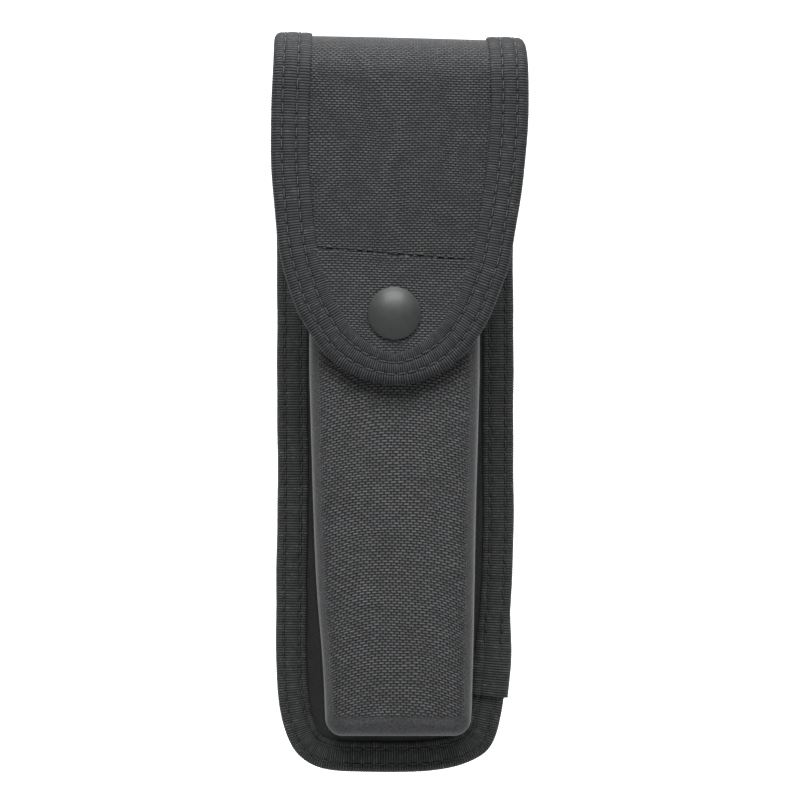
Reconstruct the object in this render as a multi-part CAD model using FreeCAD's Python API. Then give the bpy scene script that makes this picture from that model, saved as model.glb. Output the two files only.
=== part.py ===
import FreeCAD, Part
import math
import os
from FreeCAD import Vector

os.makedirs("parts", exist_ok=True)

# Millimetres. X points right seen from the front, the front faces -Y, Z is up.
# The origin is the middle of the belt tunnel.

# Driving dimensions
tapeThickness = 0.9        # edge binding
bindingReach = 9.4         # how far the binding covers the body's edge
flapBindingReach = 10.9    # how far it covers the flap's edge
backY = -4.8               # rear face of the back panel
panelThickness = 2.7       # back panel and flap
outerFabric = 0.8
panelCore = 1.5
shellThickness = 2.8       # moulded front shell
shellFoam = 1.6
frontY = -51.3             # outer front face of the moulded trough
mouthZ = 54.4
bottomZ = -150.5
flapTopZ = 68.6            # top face of the flap
flapFrontY = -56.3         # front face of the flap
rearBend = 11.0
frontBend = 14.0
flapHalfWidth = 37.0
bodyHalfWidth = 36.0
splitGap = 0.2             # between the flap's hinged pieces
snapZ = -12.2
seamZ = 4.3                # upper edge of the tip patch
seamTilt = 4.5
strapWidth = 50.0
strapThickness = 2.4
tunnelDepth = 7.0
tunnelHeight = 60.0
beltSnapX = 14.0
beltSnapZ = -58.0

shellY = backY - panelThickness          # where the shell's flange lies on the back panel
flangeY = shellY - shellThickness


def box(x0, x1, y0, y1, z0, z1):
    return Part.makeBox(x1 - x0, y1 - y0, z1 - z0, Vector(x0, y0, z0))


def loop(points):
    return Part.Wire(Part.makePolygon([Vector(*p) for p in points + points[:1]]).Edges)


def arcThrough(centre, radius, a0, a1):
    """An arc in the XZ plane, angles in degrees from +X towards +Z."""
    def at(a):
        r = math.radians(a)
        return Vector(centre[0] + radius * math.cos(r), 0, centre[1] + radius * math.sin(r))
    return Part.Arc(at(a0), at((a0 + a1) / 2), at(a1)).toShape(), at(a0), at(a1)


def mirroredFace(edges, top):
    """Closes half an outline on the right side, from the bottom middle up to top, into a face."""
    ends = [v.Point for e in edges for v in e.Vertexes]
    other = [e.mirror(Vector(0, 0, 0), Vector(1, 0, 0)) for e in edges]
    x = max(p.x for p in ends)
    lid = Part.makeLine(Vector(-x, 0, top), Vector(x, 0, top))
    parts = Part.__sortEdges__(edges + other + [lid])
    return Part.Face(Part.Wire(parts))


def bodyFace():
    r, big = 16.0, 75.0
    cx, cz = 15.5, bottomZ + 16.0
    bx = bodyHalfWidth - big
    dx = cx - bx
    dz = math.sqrt((big - r) ** 2 - dx ** 2)
    bz = cz + dz
    turn = math.degrees(math.atan2(cz - bz, dx))
    corner, c0, c1 = arcThrough((cx, cz), r, -90, turn)
    side, s0, s1 = arcThrough((bx, bz), big, turn, 0)
    base = Part.makeLine(Vector(0, 0, bottomZ), c0)
    wall = Part.makeLine(s1, Vector(bodyHalfWidth, 0, 10))
    flare = Part.makeLine(Vector(bodyHalfWidth, 0, 10), Vector(flapHalfWidth, 0, 50))
    head = Part.makeLine(Vector(flapHalfWidth, 0, 50), Vector(flapHalfWidth, 0, 90))
    return mirroredFace([base, corner, side, wall, flare, head], 90)


def flapFace():
    r, big = 28.8, 139.9
    cz = -3.9
    turn = -22.15
    reach = big - r
    bx = -reach * math.cos(math.radians(turn))
    bz = cz - reach * math.sin(math.radians(turn))
    tip, t0, t1 = arcThrough((0, cz), r, -90, turn)
    s1 = Vector(bx + big, 0, bz)
    mid = math.radians(turn / 2)
    side = Part.Arc(t1, Vector(bx + big * math.cos(mid), 0, bz + big * math.sin(mid)), s1).toShape()
    head = Part.makeLine(s1, Vector(s1.x, 0, 90))
    return mirroredFace([tip, side, head], 90)


def prism(face, inset, y0, y1):
    f = face if inset == 0 else face.makeOffset2D(-inset)
    f = f.copy()
    f.translate(Vector(0, y0, 0))
    return f.extrude(Vector(0, y1 - y0, 0))


def ring(face, lo, hi, y0, y1):
    return prism(face, lo, y0, y1).cut(prism(face, hi, y0 - 1, y1 + 1))


# A path in the YZ plane is a start, a heading and a list of moves. A move is a length, or a radius and
# a turn in degrees, positive to the left. A band is the area between two offsets to the path's left.

def pathEdges(start, heading, moves, offset):
    y, z = start
    h = math.radians(heading)
    edges = []
    ends = []
    for move in moves:
        left = (-math.sin(h), math.cos(h))
        a = Vector(0, y + offset * left[0], z + offset * left[1])
        if isinstance(move, tuple):
            radius, turn = move
            side = 1 if turn > 0 else -1
            cy, cz = y + side * radius * left[0], z + side * radius * left[1]
            t = math.radians(turn)

            def at(k):
                g = h + t * k
                n = (-math.sin(g), math.cos(g))
                reach = offset - side * radius
                return Vector(0, cy + reach * n[0], cz + reach * n[1])
            b = at(1)
            edges.append(Part.Arc(a, at(0.5), b).toShape())
            h += t
            left = (-math.sin(h), math.cos(h))
            y, z = cy - side * radius * left[0], cz - side * radius * left[1]
        else:
            y, z = y + move * math.cos(h), z + move * math.sin(h)
            b = Vector(0, y + offset * left[0], z + offset * left[1])
            edges.append(Part.makeLine(a, b))
        ends += [a, b]
    return edges, ends[0], ends[-1]


def band(path, lo, hi, half):
    one, a0, a1 = pathEdges(*path, lo)
    two, b0, b1 = pathEdges(*path, hi)
    edges = one + two + [Part.makeLine(a0, b0), Part.makeLine(a1, b1)]
    face = Part.Face(Part.Wire(Part.__sortEdges__(edges)))
    face.translate(Vector(-half, 0, 0))
    return face.extrude(Vector(2 * half, 0, 0))


riseToBend = flapTopZ - rearBend
flapPath = ((backY, -170.0), 90.0, [
    riseToBend + 170.0,
    (rearBend, 90.0),
    backY - rearBend - (flapFrontY + frontBend),
    (frontBend, 90.0),
    flapTopZ - frontBend + 60.0,
])
rearCentre = (backY - rearBend, flapTopZ - rearBend)
frontCentre = (flapFrontY + frontBend, flapTopZ - frontBend)


def side45(centre, sign, gap):
    """A half space bounded by the plane through a bend's centre at 45 degrees, as a big wedge."""
    y, z = centre
    n = Vector(0, -sign, 1).normalize() * 1.0
    along = Vector(0, 1, sign).normalize() * 300.0
    p = Vector(0, y, z) + n * gap
    pts = [p - along, p + along, p + along + n * 400.0, p - along + n * 400.0]
    f = Part.Face(Part.Wire(Part.makePolygon(pts + pts[:1]).Edges))
    f.translate(Vector(-100, 0, 0))
    return f.extrude(Vector(200, 0, 0))


aboveRear = side45(rearCentre, 1, splitGap / 2)
aboveRearLow = side45(rearCentre, 1, -splitGap / 2)
aboveFront = side45(frontCentre, -1, splitGap / 2)
aboveFrontLow = side45(frontCentre, -1, -splitGap / 2)
frontSide = box(-100, 100, -90, frontCentre[0], -100, 90)
rearSide = box(-100, 100, (rearCentre[0] + frontCentre[0]) / 2, 40, -200, 90)


def zoneBack(shape):
    return shape.cut(aboveRearLow).common(rearSide)


def zoneTop(shape):
    return shape.common(aboveRear).common(aboveFront)


def zoneFront(shape):
    return shape.cut(aboveFrontLow).common(frontSide)


def rod(x, z, r, y0, y1):
    return Part.makeCylinder(r, y1 - y0, Vector(x, y0, z), Vector(0, 1, 0))


def turned(profile, x, z):
    """A solid of revolution about a line along Y through (x, z): profile is (radius, y) pairs."""
    pts = [Vector(x + r, y, z) for r, y in profile]
    f = Part.Face(Part.Wire(Part.makePolygon(pts + pts[:1]).Edges))
    return f.revolve(Vector(x, 0, z), Vector(0, 1, 0), 360)


def layer(lo, hi, face, inset, zone):
    return zone(band(flapPath, lo, hi, 60).common(prism(face, inset, -90, 30)))


# The moulded trough: drafted planes with rounded edges, inset by d for each layer.

def trough(d):
    y0, y1 = shellY, frontY + d
    base, face = 26.0 - d, 24.5 - d
    zBase, zFace = -139.0 + d, -134.0 + d
    kink, slope, top = -30.0, 0.029, 80.0
    baseLow = base - slope * (kink - zBase)
    faceLow = face - slope * (kink - zFace)
    rearFace = [(-base, y0, top), (-base, y0, kink), (-baseLow, y0, zBase),
                (baseLow, y0, zBase), (base, y0, kink), (base, y0, top)]
    foreFace = [(-face, y1, top), (-face, y1, kink), (-faceLow, y1, zFace),
                (faceLow, y1, zFace), (face, y1, kink), (face, y1, top)]
    solid = Part.makeLoft([loop(rearFace), loop(foreFace)], True, True)
    corners = []
    rim = []
    for e in solid.Edges:
        ys = [v.Point.y for v in e.Vertexes]
        zs = [v.Point.z for v in e.Vertexes]
        if abs(ys[0] - ys[1]) > 20 and max(zs) < kink - 20:
            corners.append(e)
    solid = solid.makeFillet(7.2 - d, corners)
    for e in solid.Edges:
        low = min(v.Point.y for v in e.Vertexes)
        high = max(v.Point.y for v in e.Vertexes)
        zs = [v.Point.z for v in e.Vertexes]
        if high < y1 + 0.01 and min(zs) < top - 1:
            rim.append(e)
    return solid.makeFillet(6.0 - d, rim)


def shellBody(d):
    """Everything behind the shell's surface at depth d: the flange slab and the trough."""
    t = trough(d)
    if d < shellThickness - 0.01:
        return t.fuse(box(-60, 60, flangeY + d, shellY, -170, 80))
    return t


def shellLayer(lo, hi, top):
    s = shellBody(lo).cut(shellBody(hi))
    s = s.common(prism(bodyFace(), tapeThickness, -90, shellY))
    return s.common(box(-60, 60, -90, shellY, -170, top))


body = bodyFace()
flap = flapFace()
rivet = rod(0, snapZ, 2.2, -60, shellY)
parts = {}


def add(name, shape):
    solids = [s for s in shape.Solids if s.Volume > 0.05]
    shape = solids[0] if len(solids) == 1 else Part.makeCompound(solids)
    parts[name] = shape
    bad = [s for s in solids if not s.isValid()]
    b = shape.BoundBox
    print(name, len(solids), "INVALID" if bad or not solids else "ok", round(shape.Volume, 1),
          [round(v, 2) for v in (b.XMin, b.XMax, b.YMin, b.YMax, b.ZMin, b.ZMax)])


# Pouch: moulded front shell

add("shell_outer_fabric", shellLayer(0, outerFabric, mouthZ).cut(rivet))
add("shell_foam_core", shellLayer(outerFabric, outerFabric + shellFoam, mouthZ).cut(rivet))
add("shell_lining", shellLayer(outerFabric + shellFoam, shellThickness, mouthZ).cut(rivet))

# Pouch: back panel

def backLayer(lo, hi):
    return layer(lo, hi, body, tapeThickness, zoneBack)


d1, d2 = outerFabric, outerFabric + panelCore
add("back_outer_fabric", backLayer(0, d1))
add("back_stiffener", backLayer(d1, d2))
add("back_lining", backLayer(d2, panelThickness))


def bodyBinding():
    rearY = backY + tapeThickness
    foreY = flangeY - tapeThickness
    s = ring(body, 0, bindingReach, foreY, rearY)
    s = s.cut(prism(body, tapeThickness, flangeY, backY))
    s = s.common(box(-60, 60, -90, 30, -170, mouthZ))
    lap = prism(body, -0.8, foreY - 0.8, rearY + 0.8).cut(prism(body, bindingReach, -90, 30))
    lap = lap.cut(prism(body, tapeThickness - 0.05, foreY + 0.05, rearY - 0.05))
    lap = lap.common(box(0, 60, -90, 30, -128.0, -112.0))
    return s.fuse(lap).removeSplitter()


def upperBinding(face, lo, hi, zone, reach):
    skin = band(flapPath, -tapeThickness, panelThickness + tapeThickness, 60)
    edge = ring(face, lo, reach, -90, 30)
    inner = band(flapPath, 0, panelThickness, 60).common(prism(face, tapeThickness, -90, 30))
    return zone(skin.common(edge).cut(inner))


above = box(-60, 60, -90, 30, mouthZ, 90)
add("body_binding", bodyBinding())
add("back_edge_binding", upperBinding(body, 0, 0, zoneBack, bindingReach).common(above))


def mouthBinding():
    wall = shellBody(-tapeThickness).cut(trough(shellThickness + tapeThickness))
    wall = wall.common(box(-60, 60, -90, shellY, mouthZ - 9, mouthZ + tapeThickness))
    wall = wall.common(box(-26.9, 26.9, -90, 30, 0, 90))
    return wall.cut(shellBody(0).cut(trough(shellThickness)).common(box(-60, 60, -90, 30, 0, mouthZ)))


add("mouth_binding", mouthBinding())


def ringStitches(face, rows, y0, y1):
    s = None
    for r in rows:
        one = ring(face, r - 0.35, r + 0.35, y0, y1)
        s = one if s is None else s.fuse(one)
    return s


foreY = flangeY - tapeThickness
below = box(-60, 60, -90, 30, -170, mouthZ - 2)
lapZone = box(10, 60, -90, 30, -129.5, -110.5)
stitches = ringStitches(body, (2.6, 7.4), foreY - 0.3, foreY)
add("body_binding_stitching", stitches.common(below).cut(lapZone))

# Pouch: front snap

studFace = frontY
add("snap_stud", turned([(0, studFace), (0, studFace - 2.15), (2.9, studFace - 2.15), (3.2, studFace - 1.8),
                         (3.2, studFace - 1.3), (2.7, studFace - 0.9), (2.7, studFace - 0.6),
                         (5.8, studFace - 0.45), (6.0, studFace)], 0, snapZ))
inside = frontY + shellThickness
add("snap_stud_rivet", turned([(0, studFace), (2.2, studFace), (2.2, inside), (5.5, inside),
                               (5.3, inside + 0.6), (0, inside + 0.7)], 0, snapZ))

# Flap: top and front


def flapHoles(shape, r):
    return shape.cut(rod(0, snapZ, r, -90, -40))


for body2, zone in (("top", zoneTop), ("front", zoneFront)):
    add("flap_%s_outer_fabric" % body2, flapHoles(layer(0, d1, flap, tapeThickness, zone), 2.5))
    add("flap_%s_core" % body2, flapHoles(layer(d1, d2, flap, tapeThickness, zone), 2.5))
    add("flap_%s_lining" % body2, flapHoles(layer(d2, panelThickness, flap, tapeThickness, zone), 4.5))
    add("flap_%s_binding" % body2, upperBinding(flap, 0, 0, zone, flapBindingReach))


def edgeStitches(zone, lo, hi):
    rows = ringStitches(flap, (3.3, 7.4), -90, 30)
    return zone(band(flapPath, lo, hi, 60).common(rows))


shortTop = box(-60, 60, -50.5, -11.5, 0, 90)
shortFront = box(-60, 60, -90, -40, -60, 63.0)
add("flap_top_stitching", edgeStitches(zoneTop, -tapeThickness - 0.3, -tapeThickness).common(shortTop))
add("flap_front_stitching", edgeStitches(zoneFront, -tapeThickness - 0.3, -tapeThickness).common(shortFront))


def belowSeam(z0):
    t = math.tan(math.radians(seamTilt))
    f = loop([(-60, -90, z0 + 60 * t), (60, -90, z0 - 60 * t), (60, -90, -100), (-60, -90, -100)])
    return Part.Face(f).extrude(Vector(0, 60, 0))


def tipPatch():
    s = prism(flap, flapBindingReach, flapFrontY - 0.7, flapFrontY).common(belowSeam(seamZ))
    return flapHoles(s, 2.5)


def seamStitching():
    s = prism(flap, flapBindingReach + 1.0, flapFrontY - 0.95, flapFrontY - 0.7)
    return s.common(belowSeam(seamZ - 1.6)).cut(belowSeam(seamZ - 2.3))


add("flap_tip_patch", tipPatch())
add("patch_seam_stitching", seamStitching())

capBase = flapFrontY - 0.7
lining = flapFrontY + panelThickness


capRadius = 7.55
capRise = 2.8              # height of the domed crown above its straight edge
capEdge = 0.7


def capProfile():
    r = capRadius
    ball = (r * r + capRise * capRise) / (2 * capRise)
    steps = [r * math.sin(math.radians(a)) for a in range(0, 90, 6)] + [r]
    crown = [(k, capBase - capEdge - math.sqrt(ball * ball - k * k) + ball - capRise) for k in steps]
    rim = [(r, capBase - 0.25), (r - 0.25, capBase), (2.5, capBase)]
    post = [(2.5, lining - 0.4), (4.5, lining - 0.4), (4.5, lining), (0, lining)]
    return crown + rim + post


add("snap_cap", turned(capProfile(), 0, snapZ))
add("snap_socket", turned([(3.5, lining), (6.2, lining), (6.2, lining + 1.1), (5.8, lining + 1.4),
                           (3.5, lining + 1.4)], 0, snapZ))

# Belt loop: a folded webbing strap, closed at its lower end

turnA = 60.0
straightA = (tunnelDepth + 1.3 - 2 * 5.0 * (1 - math.cos(math.radians(turnA)))) / math.sin(math.radians(turnA))
anchorZ = 41.0
patchGap = 2.4             # hook and loop tape together
endStep = tunnelDepth + 1.3 - patchGap
turnB = math.degrees(math.acos(1 - endStep / 2 / 5.0))
fallA = 2 * 5.0 * math.sin(math.radians(turnA)) + straightA * math.cos(math.radians(turnA))
fallB = 2 * 5.0 * math.sin(math.radians(turnB))
lowZ = -31.0
strapPath = ((backY, anchorZ + 12.0), -90.0, [
    12.0, (5.0, turnA), straightA, (5.0, -turnA), anchorZ - fallA - lowZ,
    (5.0, -turnB), (5.0, turnB), lowZ - fallB + 66.0,
])
closureTop = lowZ - fallB


def strapBand(lo, hi, half):
    return band(strapPath, lo, hi, half)


hingeCut = anchorZ - 0.1
moving = box(-60, 60, -30, 60, -200, hingeCut)
fixed = box(-60, 60, -30, 60, hingeCut + 0.2, 200)
tailFace = loop([(-25, -30, -60), (-21, -30, -66), (21, -30, -66), (25, -30, -60), (25, -30, 90), (-25, -30, 90)])
tail = Part.Face(tailFace).extrude(Vector(0, 60, 0))
strap = {"strap_lining": (0, 0.5), "strap_stiffener": (0.5, 1.8), "strap_webbing": (1.8, 2.4)}
snapHoles = rod(-beltSnapX, beltSnapZ, 2.0, -30, 30).fuse(rod(beltSnapX, beltSnapZ, 2.0, -30, 30))
for name, (lo, hi) in strap.items():
    add(name, strapBand(lo, hi, strapWidth / 2).common(moving).common(tail).cut(snapHoles))
add("belt_loop_anchor", strapBand(0, strapThickness, strapWidth / 2).common(fixed))
rearOfAnchor = backY + strapThickness


def anchorStitching():
    s = box(-23, 23, rearOfAnchor, rearOfAnchor + 0.3, anchorZ + 2, anchorZ + 10)
    s = s.cut(box(-22.2, 22.2, -30, 30, anchorZ + 2.8, anchorZ + 9.2))
    return s


add("belt_loop_anchor_stitching", anchorStitching())
add("loop_tape", box(-24, 24, backY, backY + 1.2, closureTop - 12, closureTop - 1))
add("hook_tape", box(-24, 24, backY + 1.2, backY + 2.4, closureTop - 12, closureTop - 1))


def pair(profile):
    a = turned(profile, -beltSnapX, beltSnapZ)
    b = turned(profile, beltSnapX, beltSnapZ)
    return Part.makeCompound([a, b])


strapIn = backY + patchGap
strapOut = strapIn + strapThickness
add("belt_snap_studs", pair([(0, backY), (5.0, backY), (4.8, backY + 0.4), (2.2, backY + 0.5),
                             (2.2, backY + 0.8), (2.6, backY + 1.1), (2.6, backY + 1.5),
                             (2.3, backY + 1.8), (0, backY + 1.8)]))
add("belt_snap_sockets", pair([(2.9, strapIn), (5.0, strapIn), (5.0, strapIn - 1.1), (4.7, strapIn - 1.3),
                               (2.9, strapIn - 1.3)]))
add("belt_snap_caps", pair([(0, strapIn), (3.2, strapIn), (3.2, strapIn + 0.25), (2.0, strapIn + 0.25),
                            (2.0, strapOut), (5.2, strapOut), (5.6, strapOut + 0.4), (5.4, strapOut + 0.9),
                            (4.2, strapOut + 1.35), (2.2, strapOut + 1.6), (0, strapOut + 1.7)]))
parts["strap_lining"] = parts["strap_lining"].cut(
    rod(-beltSnapX, beltSnapZ, 3.2, -30, strapIn + 0.25)).cut(rod(beltSnapX, beltSnapZ, 3.2, -30, strapIn + 0.25))


def strapStitching():
    s = None
    for x in (-22.6, 22.6):
        one = strapBand(strapThickness - 0.3, strapThickness, 0.35)
        one.translate(Vector(x, 0, 0))
        s = one if s is None else s.fuse(one)
    return s.common(box(-60, 60, -30, 60, -62, anchorZ - 12))


add("strap_stitching", strapStitching())
parts["strap_webbing"] = parts["strap_webbing"].cut(parts["strap_stitching"])

for name, shape in parts.items():
    shape.exportStep("parts/" + name + ".step")
print(len(parts), "parts; strap falls", round(fallA, 2), round(fallB, 2), "closure top", round(closureTop, 2))
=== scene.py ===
import bmesh
import bpy
import mathutils
import numpy as np
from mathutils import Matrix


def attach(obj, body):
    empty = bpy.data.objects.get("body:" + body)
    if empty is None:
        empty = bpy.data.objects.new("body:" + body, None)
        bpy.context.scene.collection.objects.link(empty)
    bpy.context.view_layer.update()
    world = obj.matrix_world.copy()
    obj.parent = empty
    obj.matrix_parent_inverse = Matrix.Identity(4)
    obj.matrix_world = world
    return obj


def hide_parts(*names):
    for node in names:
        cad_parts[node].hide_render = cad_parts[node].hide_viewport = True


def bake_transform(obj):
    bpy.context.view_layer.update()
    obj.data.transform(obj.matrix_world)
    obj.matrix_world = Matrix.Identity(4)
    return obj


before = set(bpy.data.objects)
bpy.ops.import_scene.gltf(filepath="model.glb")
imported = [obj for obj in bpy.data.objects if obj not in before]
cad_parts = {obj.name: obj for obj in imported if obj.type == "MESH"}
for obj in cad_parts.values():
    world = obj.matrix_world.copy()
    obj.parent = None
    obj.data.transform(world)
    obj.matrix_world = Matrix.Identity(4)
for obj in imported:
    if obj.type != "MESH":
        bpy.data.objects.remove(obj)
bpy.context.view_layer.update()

# Lengths below are in millimetres until a mesh is made. The front faces -Y.
mm = 0.001
bottomZ, mouthZ = -150.5, 54.4

# the sheet that is back panel, hood and flap: where it lies and how it bends
panel = dict(backY=-4.8, frontY=-56.3, topZ=68.6, rearBend=11.0, frontBend=14.0, thick=2.7, halfWidth=37,
             tilt=0.0235, tiltFrom=15, tiltTo=62, bow=1.1, bowFrom=-20, bowTo=40, sag=-0.45, wave=0.22)
# the moulded front: its flange, its front face and the rounding between
shell = dict(thick=2.8, frontY=-51.3, flangeY=-10.3, rimRadius=6.0, footRadius=2.0, crown=0.9)
bodyStack = shell["thick"] + panel["thick"]  # flange and back panel, which the edge tape holds together
tape = dict(thick=0.9, bodyReach=9.4, flapReach=10.9, tipReach=9.2, ribPitch=0.79, ribHeight=0.15,
            grooveDepth=0.32, grooveWidth=0.42, edgeTuck=0.35, flapCorner=2.1, bodyCorner=2.0)
hoodJoin = dict(start=119.8, tapeEnd=126.8, end=128.8)  # heights where the flap's outline runs out behind


def smooth(a, b, x):
    t = np.clip((np.asarray(x, float) - a) / (b - a), 0, 1)
    return t * t * (3 - 2 * t)


def naturalCubic(xs, ys):
    # piecewise cubic through the knots with continuous curvature and no curvature at the ends
    xs, ys = np.asarray(xs, float), np.asarray(ys, float)
    h, n = np.diff(xs), len(xs)
    a, r, i = np.eye(n), np.zeros(n), np.arange(1, n - 1)
    a[i, i - 1], a[i, i], a[i, i + 1] = h[:-1], 2 * (h[:-1] + h[1:]), h[1:]
    r[1:-1] = 6 * np.diff(np.diff(ys) / h)
    m = np.linalg.solve(a, r)

    def at(x):
        k = np.clip(np.searchsorted(xs, x) - 1, 0, n - 2)
        p, q, w = x - xs[k], xs[k + 1] - x, h[k]
        return ((m[k] * q ** 3 + m[k + 1] * p ** 3) / (6 * w)
                + (ys[k] / w - m[k] * w / 6) * q + (ys[k + 1] / w - m[k + 1] * w / 6) * p)
    return at


class Outline:
    # a smooth line through (x, q) points, read by the distance along it and the distance inwards
    def __init__(self, points, count=6000):
        p = np.array(points, float)
        knots = np.concatenate([[0], np.cumsum(np.hypot(*np.diff(p, axis=0).T))])
        t = np.linspace(0, knots[-1], count)
        x, q = naturalCubic(knots, p[:, 0])(t), naturalCubic(knots, p[:, 1])(t)
        self.s = np.concatenate([[0], np.cumsum(np.hypot(np.diff(x), np.diff(q)))])
        self.x, self.q, self.length = x, q, self.s[-1]
        self.low = int(np.argmin(q))
        dx, dq = np.gradient(x, self.s), np.gradient(q, self.s)
        size = np.hypot(dx, dq)
        self.nx, self.nq = -dq / size, dx / size

    def at(self, s, inset):
        x, q = np.interp(s, self.s, self.x), np.interp(s, self.s, self.q)
        nx, nq = np.interp(s, self.s, self.nx), np.interp(s, self.s, self.nq)
        return x + inset * nx, q + inset * nq

    def where(self, q, side):
        # the distance along at which the line passes height q on the left (-1) or the right (1)
        if side < 0:
            return float(np.interp(-q, -self.q[:self.low + 1], self.s[:self.low + 1]))
        return float(np.interp(q, self.q[self.low:], self.s[self.low:]))

    def edges(self, q, inset):
        # the left and right x of the line moved inwards by inset, at each height q
        x, h = self.at(self.s, inset)
        left = np.interp(-q, -h[:self.low + 1], x[:self.low + 1])
        right = np.interp(q, h[self.low:], x[self.low:])
        return left, right


# Height q is z on the flap's front, then runs on over the hood and down the back.
bend1 = panel["topZ"] - panel["frontBend"]
top1 = bend1 + panel["frontBend"] * np.pi / 2
top2 = top1 + (panel["backY"] - panel["rearBend"]) - (panel["frontY"] + panel["frontBend"])
back1 = top2 + panel["rearBend"] * np.pi / 2
rearZ = panel["topZ"] - panel["rearBend"]
hoodMid = (top1 + top2) / 2


def onPanel(x, q, d):
    # a flat sheet bent over two quarter circles: point = path(q) moved inwards by the depth d,
    # then the tilt, bow and slight waves that a sewn flap has
    x, q, d = np.broadcast_arrays(np.asarray(x, float), np.asarray(q, float), np.asarray(d, float))
    f, r = panel["frontBend"], panel["rearBend"]
    a = np.clip((q - bend1) / f, 0, np.pi / 2)
    b = np.clip((q - top2) / r, 0, np.pi / 2)
    frontC, rearC = panel["frontY"] + f, panel["backY"] - r
    flat = np.clip(q - top1, 0, top2 - top1)
    yFront = frontC - (f - d) * np.cos(a)
    zFront = np.minimum(q, bend1) + (f - d) * np.sin(a)
    yBack = rearC + (r - d) * np.sin(b)
    zBack = rearZ + (r - d) * np.cos(b) - np.maximum(q - back1, 0)
    y = np.where(q < top1, yFront, np.where(q < top2, frontC + flat, yBack))
    z = np.where(q < top1, zFront, np.where(q < top2, panel["topZ"] - d, zBack))
    free = 1 - smooth(top2 - 14, back1, q)  # 0 where the sheet is sewn to the pouch, 1 where it is free
    front = free * (1 - smooth(bend1 - 10, top1, q))  # as free, and 0 on the hood too
    bowed = 0.25 + 0.75 * smooth(panel["bowFrom"], panel["bowTo"], q)
    y = y + front * panel["bow"] * (np.abs(x) / panel["halfWidth"]) ** 2.2 * bowed
    y = y + front * panel["wave"] * np.sin(0.085 * q + 0.06 * x + 0.6) * np.cos(0.07 * x - 0.4)
    z = z - x * panel["tilt"] * smooth(panel["tiltFrom"], panel["tiltTo"], q) * free
    overHood = np.sin(np.pi * smooth(bend1, back1, q)) ** 2
    z = z - panel["sag"] * overHood * np.cos(x / panel["halfWidth"] * np.pi / 2) * free
    return np.stack([x, y, z], axis=-1)


def onBody(x, z, d):
    # the flat stack of flange and back panel; depth d runs from the flange's front face backwards
    x, z, d = np.broadcast_arrays(np.asarray(x, float), np.asarray(z, float), np.asarray(d, float))
    return np.stack([x, shell["flangeY"] + d, z], axis=-1)


flapLine = Outline([
    (-36.3, 128.8), (-36.3, 118), (-36.0, 103.4), (-35.4, 89.4), (-34.9, 76.4), (-34.8, 65), (-35.0, 55.5),
    (-35.4, 44), (-35.4, 32), (-34.7, 20.3), (-33.5, 8.8), (-31.8, 0.2), (-30.0, -5.7), (-27.9, -11.2),
    (-25.4, -15.8), (-20.9, -22.8), (-14.5, -28.3), (-7.2, -31.6), (0.1, -32.7), (7.2, -31.6), (14.7, -28.3),
    (21.2, -22.8), (26.0, -15.8), (28.4, -11.2), (30.5, -5.5), (32.5, 0.2), (34.3, 8.8), (36.2, 20.3),
    (37.7, 31.8), (38.5, 44), (38.6, 54.5), (38.2, 65), (37.8, 76.4), (37.3, 89.4), (36.8, 103.4),
    (36.5, 118), (36.4, 128.8)])
bodyLine = Outline([
    (-36.7, 54.4), (-36.4, 40), (-36.1, 10), (-36.0, -37), (-35.9, -67), (-36.2, -88), (-36.4, -108),
    (-36.2, -121), (-35.5, -129), (-34.4, -135), (-32.5, -141), (-30.5, -144.5), (-27.4, -147.4),
    (-24, -149.2), (-19.4, -150.4), (-11, -150.9), (0, -150.9), (9, -150.7), (14.6, -150.0), (19.6, -148.9),
    (24.4, -147.1), (28.4, -144.4), (30.6, -140.8), (32.2, -135), (33.3, -129), (34.0, -122.7), (34.9, -112),
    (35.7, -98), (36.3, -84), (36.4, -60), (36.4, -37), (36.3, 10), (36.5, 40), (36.8, 54.4)])

print("outlines ready")


def addToScene(name, data):
    thing = bpy.data.objects.new(name, data)
    bpy.context.scene.collection.objects.link(thing)
    return thing


# Meshes are joined from grids. A part is points (n, m, 3), texture lengths (n, m, 2), whether the second
# direction closes on itself, and whether its faces are turned over.

def makePiece(name, parts, material, body=None, sharp=38):
    points, uvs, faces, base = [], [], [], 0
    for p, uv, wrap, flip in parts:
        n, m = p.shape[:2]
        i, j = np.meshgrid(np.arange(n - 1), np.arange(m if wrap else m - 1), indexing="ij")
        k = (j + 1) % m
        quad = np.stack([i * m + j, (i + 1) * m + j, (i + 1) * m + k, i * m + k], axis=-1).reshape(-1, 4)
        faces.append(base + (quad[:, ::-1] if flip else quad))
        points.append(p.reshape(-1, 3))
        uvs.append(np.broadcast_to(uv, (n, m, 2)).reshape(-1, 2))
        base += n * m
    points, uvs, faces = np.concatenate(points) * mm, np.concatenate(uvs), np.concatenate(faces)
    mesh = bpy.data.meshes.new(name)
    mesh.vertices.add(len(points))
    mesh.vertices.foreach_set("co", points.astype(np.float32).ravel())
    mesh.loops.add(faces.size)
    mesh.loops.foreach_set("vertex_index", faces.astype(np.int32).ravel())
    mesh.polygons.add(len(faces))
    mesh.polygons.foreach_set("loop_start", np.arange(0, faces.size, 4, dtype=np.int32))
    mesh.update(calc_edges=True)
    layer = mesh.uv_layers.new(name="cloth")
    layer.data.foreach_set("uv", uvs[faces.ravel()].astype(np.float32).ravel())
    mesh.validate()
    weld = bmesh.new()
    weld.from_mesh(mesh)
    bmesh.ops.remove_doubles(weld, verts=weld.verts, dist=2e-7)
    weld.to_mesh(mesh)
    weld.free()
    mesh.shade_smooth()
    if sharp:
        mesh.set_sharp_from_angle(angle=np.radians(sharp))
    mesh.materials.append(material)
    piece = addToScene(name, mesh)
    if body:
        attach(piece, body)
    return piece


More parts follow.
